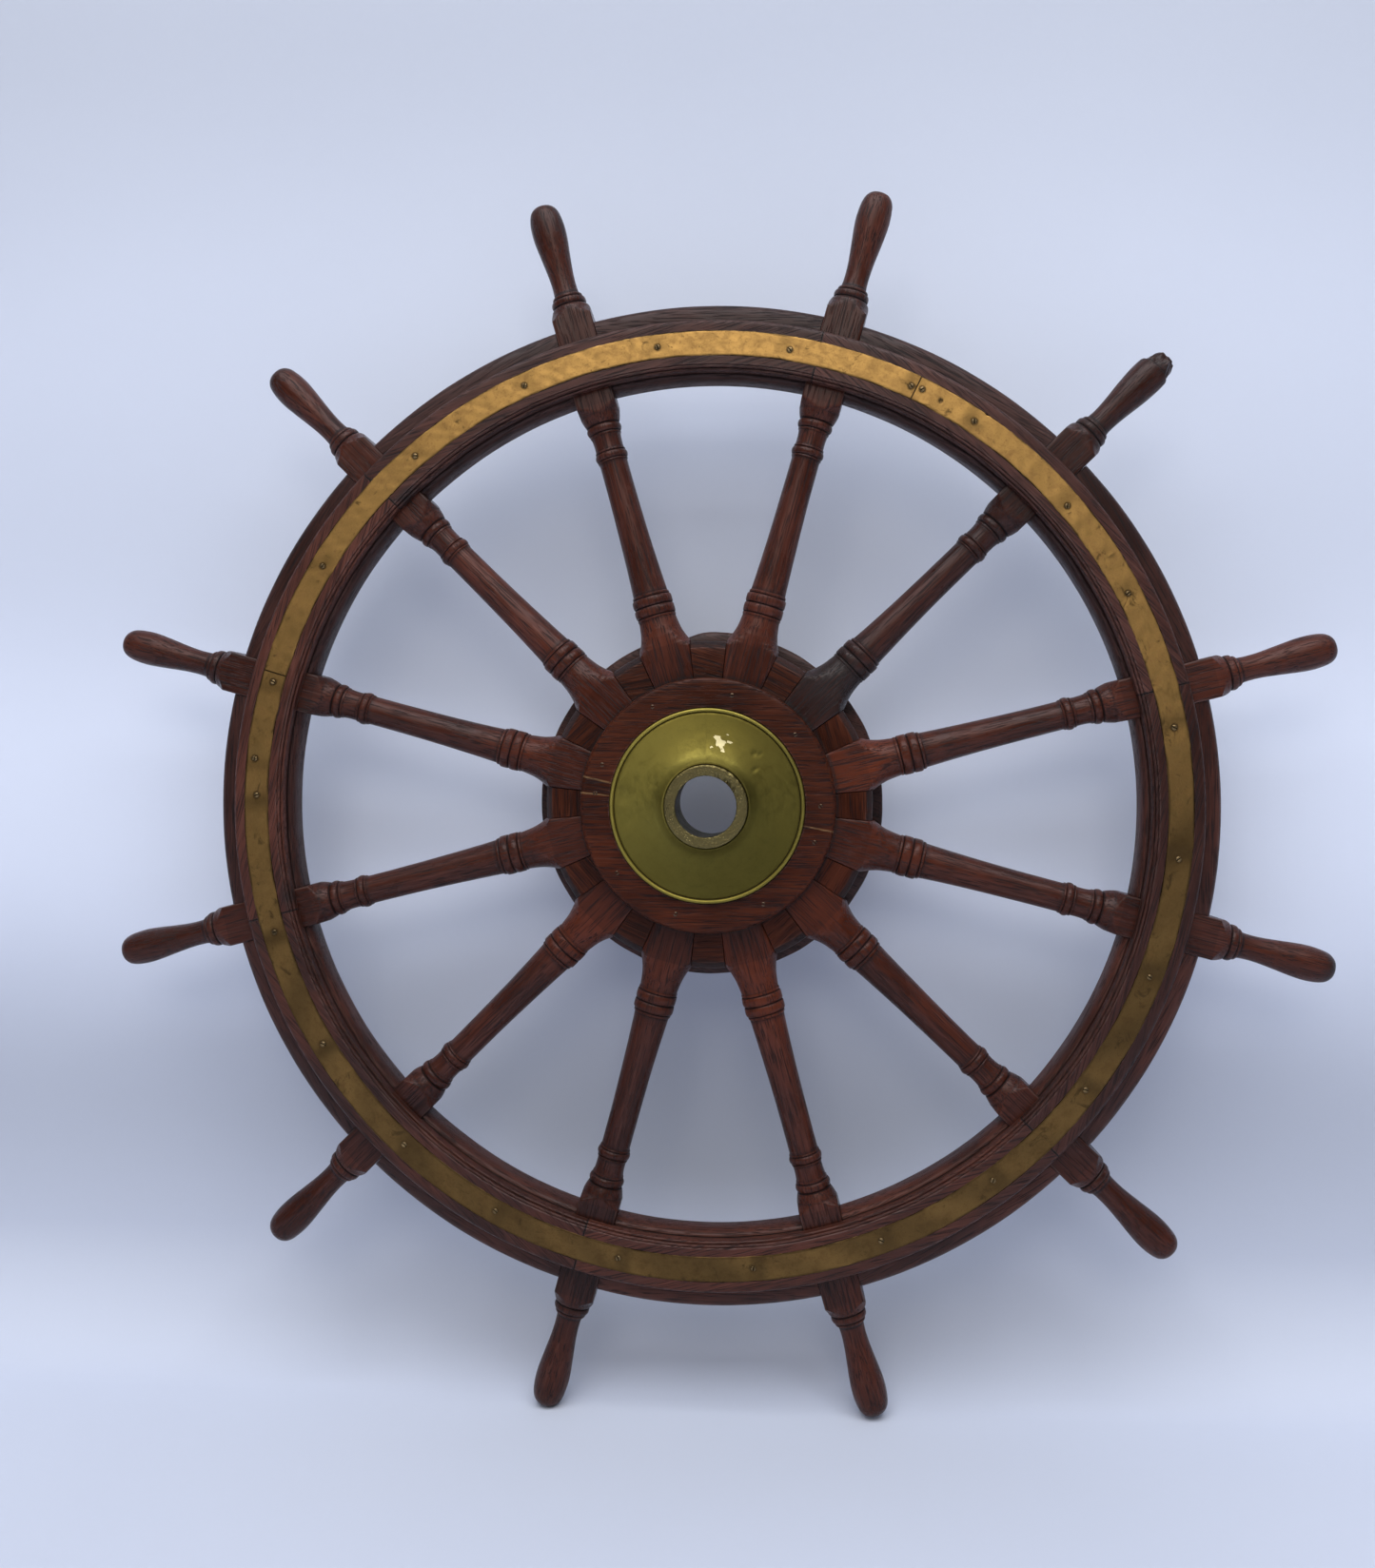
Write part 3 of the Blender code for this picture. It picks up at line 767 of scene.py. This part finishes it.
def band_soot(angles, radii, heights):
    """Darker and more olive round the lower half, with dark spots, dirty edges and a dark ring round each
    screw.
    """
    low = np.interp(angles % 360, BAND_DARKENING_ANGLES, BAND_DARKENING)
    low = low * (0.92 + 0.14 * ripple(angles + radii / 8, 308, (11, 17, 29, 43)))
    spots = 0.75 * hill((angles - 58.0) % 360, 0, 0.55) * hill(radii, 555, 7)
    spots += 0.5 * round_hill(angles, 35.2, 1.3) * hill(radii, 548, 9)
    empty = np.hypot(arc_from(angles, EMPTY_HOLE[0], SCREW_CIRCLE), radii - EMPTY_HOLE[1])
    spots += 1.5 * np.clip((3.4 - empty) / 1.2, 0, 1)
    edge = np.clip((np.abs(radii - BAND_MIDDLE) - 12.6) / 1.6, 0, 1)
    spots += 0.45 * edge * (1 + ripple(angles, 307, (31, 57, 90)))
    for angle, radius in BAND_SCREWS:
        away = arc_from(angles, angle, SCREW_CIRCLE)
        ring = np.hypot(away, radii - radius)
        spots += 0.95 * np.clip((5.2 - ring) / 1.6, 0, 1) + 0.24 * hill(away, -7, 9)
    return np.clip(low + spots, 0, 1)


def make_band():
    top = BAND_TOP
    back = top - BAND_THICKNESS
    outline = np.vstack([
        [(BAND_INNER, back), (BAND_INNER, top - 0.35), (BAND_INNER + 0.25, top - 0.08)],
        line(BAND_INNER + 0.9, top, BAND_OUTER - 0.9, top, 19),
        [(BAND_OUTER - 0.25, top - 0.08), (BAND_OUTER, top - 0.35), (BAND_OUTER, back)],
    ])
    first, second = BAND_JOINTS
    for name, start, end, seed in (("long", first, second, 1), ("short", second, first + 360, 2)):
        mesh = swept(f"rim_band_{name}_rolled", outline, start, end, 0.16, inset=BAND_JOINT_GAP,
                     shift=band_shift, soot=band_soot, seed=310 + seed, lathe=True, ends=(0.5, 1.0))
        piece(mesh, BAND_BRASS, [f"rim_band_{name}"])


# The (share of the radius, share of the height) of a screw head, from foot to crown
DOME = ((1.0, -0.6), (1.0, 0.25), (0.93, 0.55), (0.8, 0.78), (0.62, 0.92), (0.42, 0.98), (0.24, 1.0),
        (0.1, 1.0))


def screw_head(radius, height, slot_turn, slot_half_width=0.9, slot_depth=0.9):
    """Rows of a domed head, with a slot cut across it."""
    around = np.radians(np.arange(0, 360, 6.0))
    rows = []
    for share, rise in DOME:
        x, y = radius * share * np.cos(around), radius * share * np.sin(around)
        off = np.abs(x * math.sin(slot_turn) - y * math.cos(slot_turn))
        cut = np.clip((slot_half_width - off) / 0.35, 0, 1) * slot_depth * (rise > 0)
        rows.append(np.stack([x, y, height * rise - cut], 1))
    return np.array(rows)


def make_screws(name, places, radius, height, finish, seed, back=False):
    """One piece holding screws at (angle, radius, height of the surface) places."""
    rng = np.random.default_rng(seed)
    points, faces, marks = [], [], []
    base = 0
    for angle, reach, level in places:
        rows = screw_head(radius * rng.uniform(0.93, 1.07), height, rng.uniform(0, math.pi))
        count, cols = rows.shape[:2]
        turn = math.radians(angle)
        out = np.array((math.sin(turn), 0, math.cos(turn)))
        side = np.array((math.cos(turn), 0, -math.sin(turn)))
        front = np.array((0, 1.0 if back else -1.0, 0))
        flat = rows.reshape(-1, 3)
        placed = out * (reach + flat[:, :1]) + side * flat[:, 1:2]
        placed += front * (level * (-1 if back else 1) + flat[:, 2:3])
        points.append(placed * MM)
        marks.append(np.where(flat[:, 2] < height * 0.45, 0.9, 0.0))
        quads = (base + grid_quads(count, cols)).tolist()
        faces += [quad[::-1] for quad in quads] if back else quads
        crown = base + (count - 1) * cols
        low, high = list(range(base, base + cols)), list(range(crown, crown + cols))
        faces += [low, high[::-1]] if back else [low[::-1], high]
        base = crown + cols
    flat = np.vstack(points)
    hollow = np.concatenate(marks)
    mark = np.stack([0 * hollow, 0 * hollow, hollow], 1)
    mesh = mesh_of(name, flat, faces, flat + 3.0, mark, 0 * hollow, 40.0)
    piece(mesh, finish)


make_felloes()
make_facings()
make_band()
make_screws("rim_band_screws", [(a, r, BAND_TOP - 0.55) for a, r in BAND_SCREWS], 3.3, 1.6,
            SCREW_BRASS, 320)


# ---------------- nave

# The front edge of a filler, and its end under the bevel
FILLER_OUTER, FILLER_END = 190.0, 197.4
FILLER_WARMTH = (0.05, 0.05, 0.15, 0.25, 0.3, 0.25, 0.15, 0.1, 0.1, 0.1, 0.05, 0.0)
RING_OUTER = 152.5
NAVE_INNER = 62.8
RING_JOINTS = (101.5, 275.6, 283.0)
PLATE_RECESS = 5.0
# The gap round a plate, the rear recess's depth, and how far the rear disc passes the CAD's
PLATE_GAP = 0.6
REAR_RECESS = 6.0
DISC_MORE = 3.6
# The outer radii of the bush: its boss, its flange inside the nave and its rear end
BOSS_RADIUS, FLANGE_RADIUS, BUSH_REAR_RADIUS = 49.0, 61.5, 50.0


def make_fillers():
    half = BLANK_HALF - 0.1
    outline = np.vstack([
        [(NAVE_INNER, -half), (NAVE_INNER, half)],
        line(110, half, 148, half, 3),
        line(152.6, half, 158, half, 4),
        line(165, half, 187.6, half, 4),
        [(189.0, half - 0.3), (FILLER_OUTER, half - 1.2), (FILLER_END - 0.8, half - 8.4),
         (FILLER_END, half - 10.4), (FILLER_END, -half)],
    ])

    # The fillers' bevelled outer ends, where shade falls, are painted dark grey as painted shade.
    def soot(angles, radii, heights):
        # A dark line of painted shadow just past the front ring's edge
        return np.clip(0.85 * hill(radii, RING_SHADOW_RADIUS, 2.4) + 0.75 * (radii > FILLER_OUTER - 0.5), 0, 1)

    rng = np.random.default_rng(500)
    for i in range(SPOKES):
        start = angle_at(SPOKE_ANGLES, i - 1) + ROOT_HALF_ANGLE
        end = SPOKE_ANGLES[i] - ROOT_HALF_ANGLE
        middle = (start + end) / 2
        lift = rng.uniform(-0.35, 0.05)

        def shift(angles, radii, heights, lift=lift, seed=510 + i):
            front = heights > 10
            return 0.5 * ripple(angles, seed) * (radii > 180), np.where(front, lift, 0.0)

        mesh = swept(f"nave_block_{i + 1:02d}", outline, start, end, 1.0, inset=0.22, shift=shift,
                     grain_turn=middle + rng.uniform(-24, 24), seed=530 + i, soot=soot,
                     tone=rng.uniform(-0.20, 0.04), warm=FILLER_WARMTH[i])
        piece(mesh, NAVE_WOOD, [f"nave_filler_{i + 1:02d}"])


def make_front_ring():
    top, recess = RING_FRONT, PLATE_RADIUS + PLATE_GAP
    floor = top - PLATE_RECESS
    outline = np.vstack([
        [(NAVE_INNER, FACING_BACK), (NAVE_INNER, floor), (recess, floor), (recess, top - 0.5),
         (recess + 0.5, top)],
        line(120, top, 145.5, top, 6),
        smooth([(147.4, top - 0.1), (149.4, top - 0.6), (151.2, top - 1.8), (152.2, top - 3.4),
                (RING_OUTER, top - 5.4)], 4),
        [(RING_OUTER, FACING_BACK)],
    ])
    lower, patch, upper = RING_JOINTS

    def shift(angles, radii, heights):
        front = heights > top - 3
        nick = 0.9 * round_hill(angles, 46.7, 0.9) * (radii > 143)
        return 0.12 * ripple(angles, 560) * (radii > 118), 0.14 * ripple(angles, 561) * front - nick

    # name, start, end, grain angle, tone, warmth and CAD nodes
    spans = (("lower", lower, patch, 0.0, 0.0, 0.30, ["front_nave_ring_lower"]),
             ("patch", patch, upper, 8.0, -0.05, 0.15, []),
             ("upper", upper, lower + 360, 0.0, -0.02, 0.12, ["front_nave_ring_upper"]))
    for i, (name, start, end, grain_turn, tone, warm, nodes) in enumerate(spans):
        mesh = swept(f"nave_ring_{name}", outline, start, end, 1.5, inset=0.14, shift=shift,
                     grain_turn=grain_turn, seed=570 + i, tone=tone, warm=warm, ends=(0.8, -0.8))
        piece(mesh, NAVE_WOOD, nodes)


def make_rear_disc():
    near, far = -FACING_BACK, DISC_REAR
    recess = extent("rear_hub_plate")[0] + PLATE_GAP
    floor = far + REAR_RECESS
    edge = DISC_RADIUS + DISC_MORE
    outline = np.vstack([
        [(NAVE_INNER, near), (160, near), (196, near), (206.2, near), (207.2, near - 0.4)],
        smooth([(208.8, near - 1.2), (211.0, near - 3.0), (edge, near - 5.2)], 3),
        [(edge, far + 5.0)],
        smooth([(edge - 0.6, far + 3.0), (206.0, far + 1.2), (203.5, far)], 3),
        [(190, far), (150, far), (120, far), (recess + 0.6, far), (recess, far + 0.5), (recess, floor),
         (NAVE_INNER, floor)],
    ])

    def shift(angles, radii, heights):
        chip = 5.2 * round_hill(angles, 350.5, 5.0) * np.clip((radii - 198) / 8, 0, 1)
        return 0.35 * ripple(angles, 580) * (radii > 195) - chip, 0 * radii

    def soot(angles, radii, heights):
        return np.where(heights > far + 4, 0.45 + 0.20 * ripple(angles, 581), 0.1)

    mesh = swept("rear_disc_planked", outline, 0, 360, 1.5, shift=shift, soot=soot, grain_turn=20,
                 seed=582, tone=0.7)
    piece(mesh, RIM_WOOD, ["rear_nave_disc"])


# Painted light and shade on the plate, by angle: lighter to the upper left, darker to the lower right
PLATE_PAINTED_LIGHT_ANGLES = (0, 45, 90, 135, 180, 225, 270, 315, 360)
PLATE_PAINTED_LIGHT = (-0.20, -0.28, -0.22, -0.46, -0.46, -0.24, 0.32, 0.25, -0.20)
# The (angle, radius) of its three small dents, their depths, and their half widths and lengths
PLATE_DENTS = ((42.5, 84, 0.55, 3.2, 3.4), (53, 72, 0.6, 2.2, 4), (46, 88, 0.5, 1.5, 3))
# The (angle, radius) and the size of the pale splatter
SPLATTER = (12.5, 77, 6.5)


def make_front_plate():
    top = RING_FRONT
    back = top - PLATE_RECESS + GAP
    edge = PLATE_RADIUS
    field = smooth([(108.6, top + 1.9), (102, top + 2.7), (92, top + 4.0), (82, top + 5.5),
                    (73, top + 7.3), (66, top + 9.3), (60.5, top + 11.7), (56.5, top + 14.6),
                    (53.4, top + 17.4)], 7)
    outline = np.vstack([
        [(49.25, back), (edge, back), (edge, top + 2.0)],
        arc_points(edge - 2.3, top + 2.5, 2.3, 4, 170, 11),
        [(edge - 4.7, top + 1.6), (edge - 5.2, top + 1.2), (edge - 5.9, top + 1.4)],
        field,
        [(52.0, top + 18.7), (50.4, top + 18.9), (49.6, top + 18.5), (49.25, top + 17.4)],
    ])

    def shift(angles, radii, heights):
        front = heights > top + 0.5
        dents = 0.0
        for angle, radius, depth, width, length in PLATE_DENTS:
            away = arc_from(angles, angle, radius)
            dents += depth * hill(away, 0, width) * hill(radii, radius, length)
        sink = 0.5 * round_hill(angles, 35, 26) * hill(radii, 96, 16)
        return 0 * radii, np.where(front, 0.03 * ripple(angles, 590, (2, 3, 5, 7)) - dents - sink, 0.0)

    def soot(angles, radii, heights):
        angle, radius, size = SPLATTER
        ragged = 3.4 * np.sin(angles * 0.53 + radii * 0.31)
        ragged += 2.6 * np.sin(radii * 0.62 - angles * 0.41 + 1.0)
        ragged += 2.2 * np.sin(radii * 1.5 + angles * 1.1) * np.sin(angles * 1.3)
        away = arc_from(angles, angle, radius)
        splatter = np.hypot(away / 1.15, radii - radius) + ragged < size
        dull = 0.35 * np.clip((52.6 - radii) / 1.5, 0, 1) + 0.3 * round_hill(angles, 60, 45)
        return np.where(splatter & (heights > top), -1.0, dull)

    def tone(angles, radii):
        # Painted light and shade by angle, and a lighter outer edge
        return np.interp(angles % 360, PLATE_PAINTED_LIGHT_ANGLES, PLATE_PAINTED_LIGHT) + 0.7 * (radii > edge - 4.6)

    mesh = swept("front_plate_turned", outline, 0, 360, 1.0, shift=shift, soot=soot, seed=592, lathe=True,
                 tone=tone)
    piece(mesh, PLATE_BRASS, ["front_hub_plate"])


def make_bush():
    nose, rear = BOSS_NOSE, BUSH_REAR
    step_front, step_rear = RING_FRONT - PLATE_RECESS, DISC_REAR + REAR_RECESS
    boss, flange, tail = BOSS_RADIUS, FLANGE_RADIUS, BUSH_REAR_RADIUS
    outline = np.vstack([
        line(36.0, nose - 2.0, 39.4, rear + 1.0, 40)[::-1],
        [(36.1, nose - 0.9), (36.7, nose - 0.2)],
        line(37.4, nose, 47.4, nose, 13),
        [(boss - 0.7, nose - 0.3), (boss - 0.15, nose - 0.9), (boss, nose - 2.0)],
        line(boss, nose - 3.0, boss, step_front + 1, 8),
        [(boss, step_front), (flange, step_front), (flange, step_rear), (tail, step_rear)],
        line(tail, step_rear - 0.5, tail, rear + 1.0, 4),
        [(49.2, rear), (45, rear), (40.4, rear)],
    ])

    def shift(angles, radii, heights):
        face = np.clip((heights - nose + 3.5) / 3.0, 0, 1)
        rough = ripple(angles + radii * 3, 600, (40, 67, 95))
        rough += ripple(angles - radii * 5, 601, (25, 58, 81))
        pits = np.clip(rough - 0.75, 0, 1) * 0.9
        chips = np.clip(0.6 + ripple(angles + radii, 602, (15, 29, 47)), 0, 1.4)
        broken = round_hill(angles, 47, 30) * np.clip((42.5 - radii) / 4.5, 0, 1) * chips * 2.6
        outer = round_hill(angles, 40, 34) * np.clip((radii - 46.5) / 2.0, 0, 1) * chips
        high = -face * (pits + broken + outer) + 0.05 * rough * face
        return 0.10 * rough * face * (radii < 38), high

    def soot(angles, radii, heights):
        dull = 0.12 + 0.25 * ripple(angles + radii * 8, 603, (11, 23, 37))
        return np.where(heights < nose - 4, 0.75, dull)

    mesh = swept("shaft_bush_worn", outline, 0, 360, 1.25, shift=shift, soot=soot, seed=604, lathe=True)
    piece(mesh, BOSS_BRONZE, ["shaft_bush"])


def make_rear_plate():
    edge, low, high = extent("rear_hub_plate")
    outline = np.vstack([
        [(50.3, low), (edge, low), (edge, high + 1.6)],
        arc_points(edge - 2.0, high + 2.0, 2.0, -10, -85, 6),
        line(edge - 4, high, 55, high, 8),
        [(51.2, high), (50.5, high + 0.3), (50.3, high + 1.0)],
    ])

    def shift(angles, radii, heights):
        return 0 * radii, np.where(heights < high + 1, 0.12 * ripple(angles, 610), 0.0)

    mesh = swept("rear_plate_turned", outline, 0, 360, 1.5, shift=shift, seed=611, lathe=True)
    piece(mesh, PLATE_BRASS, ["rear_hub_plate"])
    places = [(15 + 60 * i, 84, high) for i in range(6)]
    make_screws("rear_plate_screws", places, 4.6, 1.4, SCREW_BRASS, 612, back=True)


RING_SCREW_ANGLES = (12.8, 51, 90, 108.5, 150, 196, 233, 276, 291, 331)
RING_SCREWS = [(angle, 134, RING_FRONT - 0.35) for angle in RING_SCREW_ANGLES]

make_fillers()
make_front_ring()
make_rear_disc()
make_front_plate()
make_bush()
make_rear_plate()
make_screws("nave_ring_screws", RING_SCREWS, 2.7, 0.9, BLACK_SCREW, 620)


# ---------------- stage, light and camera

# The paper's floor, the y of its wall, the radius between them, and the fold in the wall
FLOOR = cad_box[0].z
WALL = 0.165
CURVE = 0.150
FOLD_TOP, FOLD_FOOT, FOLD_DEPTH = 0.22, -0.50, 0.020
FLOOR_FRONT, WALL_TOP, STAGE_HALF = -6.0, 5.0, 6.0
# The paper's colour carries painted light and shade, graded by height: from a low to a high z its tone
# changes by a factor.
PAPER_PAINTED_LIGHT = ((-0.74, -0.42, 0.80), (-0.42, -0.08, 1.46), (0.05, 0.40, 0.87), (0.55, 1.10, 0.77))


def stage_material():
    """Pale paper that shows only from its front, with painted light and shade graded by height."""
    n = Nodes(bpy.data.materials.new("studio_paper"))
    place = n.add("ShaderNodeTexCoord", output="Object")
    cloud = n.noise(place, (0.9, 0.9, 1.3), 3, 0.5)
    fibre = n.noise(place, (160, 160, 160), 3, 0.6)
    colour = n.mix(n.span(cloud, 0.3, 0.7), (0.69, 0.725, 0.83), (0.72, 0.755, 0.86))
    level = n.add("ShaderNodeSeparateXYZ", {0: place}, 2)
    # Painted light and shade: the paper's colour lightened and darkened in bands by height
    for low, high, change in PAPER_PAINTED_LIGHT:
        colour = n.gain(colour, n.span(level, low, high, 1.0, change))
    material = n.finish(colour, n.span(fibre, 0.3, 0.7, 0.75, 0.9), fibre, 0.00005)
    shader = n.shader.outputs[0]
    clear = n.add("ShaderNodeBsdfTransparent")
    behind = n.add("ShaderNodeNewGeometry", output="Backfacing")
    seen = n.add("ShaderNodeMixShader", {0: behind, 1: shader, 2: clear})
    n.put(n.tree.nodes["Material Output"], "Surface", seen)
    return material


def make_stage():
    """A sheet of pale paper: floor, a curve, and a wall with a soft fold behind the wheel."""
    turn = np.radians(np.linspace(0, 90, 25))
    outline = [(FLOOR_FRONT, FLOOR)]
    outline += list(zip(WALL - CURVE + CURVE * np.sin(turn), FLOOR + CURVE * (1 - np.cos(turn))))
    height = np.linspace(FOLD_FOOT, FOLD_TOP, 30)
    share = (height - FOLD_FOOT) / (FOLD_TOP - FOLD_FOOT)
    outline += list(zip(WALL - FOLD_DEPTH * np.sin(math.pi * share) ** 2, height))
    outline += [(WALL, WALL_TOP)]
    xs = (-STAGE_HALF, STAGE_HALF)
    points = [(x, y, z) for y, z in outline for x in xs]
    faces = [(2 * i, 2 * i + 1, 2 * i + 3, 2 * i + 2) for i in range(len(outline) - 1)]
    mesh = bpy.data.meshes.new("paper_sweep")
    mesh.from_pydata(points, [], faces)
    mesh.shade_smooth()
    mesh.materials.append(stage_material())
    new_object("paper_sweep", mesh)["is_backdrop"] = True


def area_light(name, place, target, width, height, power, colour):
    """A panel that the camera doesn't see, turned to its target."""
    light = bpy.data.lights.new(name, "AREA")
    light.shape = "RECTANGLE"
    light.size, light.size_y = width, height
    light.energy = power
    light.color = colour
    obj = new_object(name, light)
    obj.location = place
    obj.rotation_euler = (Vector(target) - Vector(place)).to_track_quat("-Z", "Y").to_euler()
    obj.visible_camera = False


ROOM_COLOUR = (0.66, 0.72, 0.86, 1.0)
# The room's strength in front of the wheel, overhead, and as the camera sees it
ROOM_DIM, ROOM_BRIGHT, ROOM_SEEN = 0.07, 0.62, 0.85


def make_lights():
    world = bpy.data.worlds.new("studio")
    n = Nodes(world, "Background")
    n.put(n.shader, "Color", ROOM_COLOUR)
    direction = n.add("ShaderNodeTexCoord", output="Generated")
    level = n.add("ShaderNodeVectorMath", {0: direction, 1: (0.0, 0.6, 0.8)}, "Value",
                  operation="DOT_PRODUCT")
    room = n.add("ShaderNodeMapRange",
                 {"Value": level, 1: -0.5, 2: 0.8, 3: ROOM_DIM, 4: ROOM_BRIGHT})
    is_seen = n.add("ShaderNodeLightPath", output="Is Camera Ray")
    n.put(n.shader, "Strength", n.add("ShaderNodeMix", {0: is_seen, 2: room, 3: ROOM_SEEN}))
    bpy.context.scene.world = world
    area_light("overhead", (0.10, -2.0, 3.3), (0, 0, -0.2), 4.6, 2.6, 132.0, (0.93, 0.96, 1.0))
    area_light("front_high", (-0.1, -3.9, 2.1), (0, 0, 0), 2.6, 1.4, 36.0, (1.0, 0.97, 0.92))


# The camera stands slightly above the hub and to the right of the spin axis. The place is that of
# the hub in the camera's frame: right, forward and up.
CAMERA_TILT, CAMERA_YAW, CAMERA_ROLL = -0.37, -4.33, 0.07
WHEEL_AT = Vector((0.0264, 1.6777, -0.0949))
SENSOR = 36.0
# The focal length and the upright shift, as shares of the picture's long side
FOCAL_SHARE, SHIFT_SHARE = 0.87803, -0.037075


def make_camera():
    yaw, tilt, roll = (
        Matrix.Rotation(math.radians(angle), 3, axis)
        for angle, axis in ((CAMERA_YAW, "Z"), (CAMERA_TILT, "X"), (CAMERA_ROLL, "Y"))
    )
    back = (yaw @ tilt @ roll).transposed()
    right, forward, up = (back @ Vector(axis) for axis in ((1, 0, 0), (0, 1, 0), (0, 0, 1)))
    camera = bpy.data.cameras.new("camera")
    camera.sensor_width = SENSOR
    camera.lens = SENSOR * FOCAL_SHARE
    camera.shift_y = SHIFT_SHARE
    camera.clip_start, camera.clip_end = 0.05, 60.0
    obj = new_object("camera", camera)
    frame_axes = Matrix((right, up, -forward)).transposed()
    obj.matrix_world = Matrix.Translation(-(back @ WHEEL_AT)) @ frame_axes.to_4x4()
    bpy.context.scene.camera = obj


make_stage()
make_lights()
make_camera()
bpy.context.scene.view_settings.view_transform = "Standard"

boxes = {"cad": cad_box, "visual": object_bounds()}
{key: [list(corner) for corner in box] for key, box in boxes.items()}
